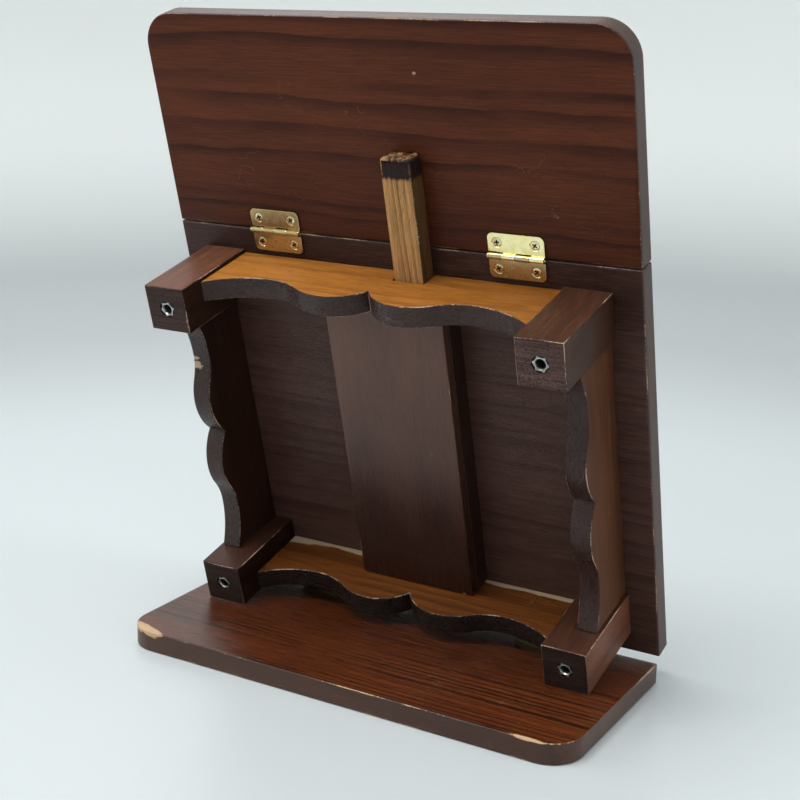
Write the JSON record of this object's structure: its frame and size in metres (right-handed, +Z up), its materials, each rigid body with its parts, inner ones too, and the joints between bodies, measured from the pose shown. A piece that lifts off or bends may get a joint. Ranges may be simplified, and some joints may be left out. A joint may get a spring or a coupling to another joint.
{
  "type": "folding table top stand",
  "caption": "Small wooden drop-leaf table top stood on one folded leaf, with scalloped aprons, leg blocks, butt hinges and sliding leaf supports.",
  "frame": {"origin": "centre of the base leaf's floor face, with the base leaf flat on the surface", "axes": "+Z up; +X to the right and -Y to the front, seen from the side that shows the wooden underside; the frame leans towards -Y"},
  "size_m": [0.27, 0.127, 0.3438],
  "materials": {
    "veneered_board": "dark red-brown veneer under satin lacquer, worn pale at the arrises",
    "block_wood": "stained hardwood, satin, dark rough end grain",
    "apron_wood": "orange-brown stained hardwood with dark sawn edges",
    "housing_wood": "dark stained hardwood, satin",
    "bare_wood": "unfinished, with a dark stained tip",
    "hinge_brass": "polished, slightly tarnished",
    "screw_brass": "plated, polished",
    "pin_steel": "bright",
    "insert_steel": "dull zinc plated"
  },
  "bodies": {
    "base": {"base_leaf": "veneered_board", "hinge_lower_left_leaf_plate": "hinge_brass", "hinge_lower_left_screw_1": "screw_brass", "hinge_lower_left_screw_2": "screw_brass", "hinge_lower_right_leaf_plate": "hinge_brass", "hinge_lower_right_screw_1": "screw_brass", "hinge_lower_right_screw_2": "screw_brass"},
    "table_frame": {"apron_left": "apron_wood", "apron_lower": "apron_wood", "apron_right": "apron_wood", "apron_upper": "apron_wood", "block_lower_left": "block_wood", "block_lower_right": "block_wood", "block_upper_left": "block_wood", "block_upper_right": "block_wood", "centre_board": "veneered_board", "hinge_lower_left_board_plate": "hinge_brass", "hinge_lower_left_pin": "pin_steel", "hinge_lower_left_screw_3": "screw_brass", "hinge_lower_left_screw_4": "screw_brass", "hinge_lower_right_board_plate": "hinge_brass", "hinge_lower_right_pin": "pin_steel", "hinge_lower_right_screw_3": "screw_brass", "hinge_lower_right_screw_4": "screw_brass", "hinge_upper_left_board_plate": "hinge_brass", "hinge_upper_left_pin": "pin_steel", "hinge_upper_left_screw_3": "screw_brass", "hinge_upper_left_screw_4": "screw_brass", "hinge_upper_right_board_plate": "hinge_brass", "hinge_upper_right_pin": "pin_steel", "hinge_upper_right_screw_3": "screw_brass", "hinge_upper_right_screw_4": "screw_brass", "housing_cover": "housing_wood", "housing_divider": "housing_wood", "housing_rail_left": "housing_wood", "housing_rail_right": "housing_wood", "insert_lower_left": "insert_steel", "insert_lower_right": "insert_steel", "insert_upper_left": "insert_steel", "insert_upper_right": "insert_steel"},
    "raised_leaf": {"upper_leaf": "veneered_board", "hinge_upper_left_leaf_plate": "hinge_brass", "hinge_upper_left_screw_1": "screw_brass", "hinge_upper_left_screw_2": "screw_brass", "hinge_upper_right_leaf_plate": "hinge_brass", "hinge_upper_right_screw_1": "screw_brass", "hinge_upper_right_screw_2": "screw_brass"},
    "drawn_loper": {"loper_upper": "bare_wood"},
    "stowed_loper": {"loper_lower": "bare_wood"}
  },
  "joints": [
    {"name": "lower_leaf_fold", "type": "hinge", "parent": "base", "child": "table_frame", "pos_m": [0, 0.0574, 0.01335], "axis": [-1, 0, 0], "range_deg": [0, 105.09]},
    {"name": "upper_leaf_fold", "type": "hinge", "parent": "table_frame", "child": "raised_leaf", "pos_m": [0, -0.00103, 0.23001], "axis": [-1, 0, 0], "range_deg": [0, 3]},
    {"name": "upper_loper_slide", "type": "slide", "parent": "table_frame", "child": "drawn_loper", "axis": [0, -0.2604, 0.9655], "range_m": [-0.064, 0]},
    {"name": "lower_loper_slide", "type": "slide", "parent": "table_frame", "child": "stowed_loper", "axis": [0, 0.2604, -0.9655], "range_m": [0, 0.0135]}
  ]
}
